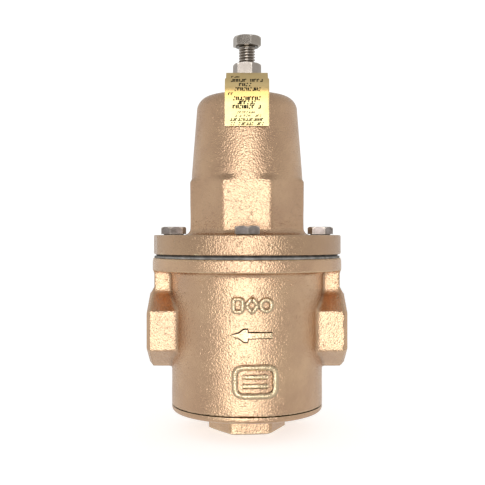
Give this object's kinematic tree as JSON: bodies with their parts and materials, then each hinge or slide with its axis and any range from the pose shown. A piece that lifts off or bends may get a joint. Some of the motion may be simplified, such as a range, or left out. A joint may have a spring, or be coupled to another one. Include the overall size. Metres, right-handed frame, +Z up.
{
  "type": "pressure reducing valve",
  "caption": "Diaphragm pressure reducing valve: round body with hexagon ports on both sides, bolted octagon bonnet, adjusting screw with lock nut, and a bottom plug.",
  "frame": {"origin": "centre of the underside of the bottom hexagon, on the axis of the body", "axes": "+Z up along the adjusting screw, +X towards the inlet port, -X towards the outlet port, -Y towards the front that carries the flow arrow"},
  "size_m": [0.1112, 0.1068, 0.2241],
  "materials": {
    "cast_bronze": "sand cast, shot blasted",
    "turned_brass": "turned",
    "sheet_brass": "rolled sheet, stamped",
    "plated_steel": "zinc plated",
    "stainless": "satin",
    "spring_steel": "oil blackened",
    "rubber": "moulded, fabric reinforced",
    "fibre": "pressed fibre"
  },
  "bodies": {
    "casing": {"body": "cast_bronze", "bottom_plug": "cast_bronze", "bottom_plug_ring": "rubber", "strainer_screen": "stainless", "seat_ring": "turned_brass", "seat_ring_gasket": "fibre", "diaphragm": "rubber", "slip_ring": "fibre", "bonnet": "cast_bronze", "bonnet_bolt_front": "plated_steel", "bonnet_bolt_right": "plated_steel", "bonnet_bolt_back": "plated_steel", "bonnet_bolt_left": "plated_steel"},
    "stem_assembly": {"stem": "stainless", "stem_ring": "rubber", "disc_holder": "turned_brass", "seat_disc": "rubber", "disc_washer": "turned_brass", "disc_nut": "turned_brass", "lower_diaphragm_washer": "turned_brass", "pressure_plate": "plated_steel", "diaphragm_nut": "plated_steel", "range_spring": "spring_steel"},
    "spring_button": {"spring_button": "plated_steel"},
    "adjusting_screw": {"adjusting_screw": "plated_steel"},
    "rating_tag": {"rating_tag": "sheet_brass"},
    "lock_nut": {"lock_nut": "plated_steel"}
  },
  "joints": [
    {"name": "stem_lift", "type": "slide", "parent": "casing", "child": "stem_assembly", "axis": [0, 0, 1], "range_m": [0, 0.0035], "stiffness_N_per_m": 2000, "springref_m": -0.002, "deforming": ["range_spring", "diaphragm"]},
    {"name": "screw_advance", "type": "slide", "parent": "casing", "child": "spring_button", "axis": [0, 0, -1], "range_m": [-0.00317, 0.00635], "deforming": ["range_spring"]},
    {"name": "screw_turn", "type": "hinge", "parent": "spring_button", "child": "adjusting_screw", "pos_m": [0, 0, 0.2], "axis": [0, 0, -1], "range_deg": [-720, 1440]},
    {"name": "tag_lift", "type": "slide", "parent": "casing", "child": "rating_tag", "axis": [0, 0, 1], "range_m": [0, 0.00159]},
    {"name": "lock_nut_turn", "type": "hinge", "parent": "rating_tag", "child": "lock_nut", "pos_m": [0, 0, 0.205], "axis": [0, 0, 1], "range_deg": [0, 360]}
  ],
  "couplings": [
    {"joint": "screw_turn", "follows": "screw_advance", "rad_per_m": 3957.9},
    {"joint": "lock_nut_turn", "follows": "tag_lift", "rad_per_m": 3957.9}
  ]
}
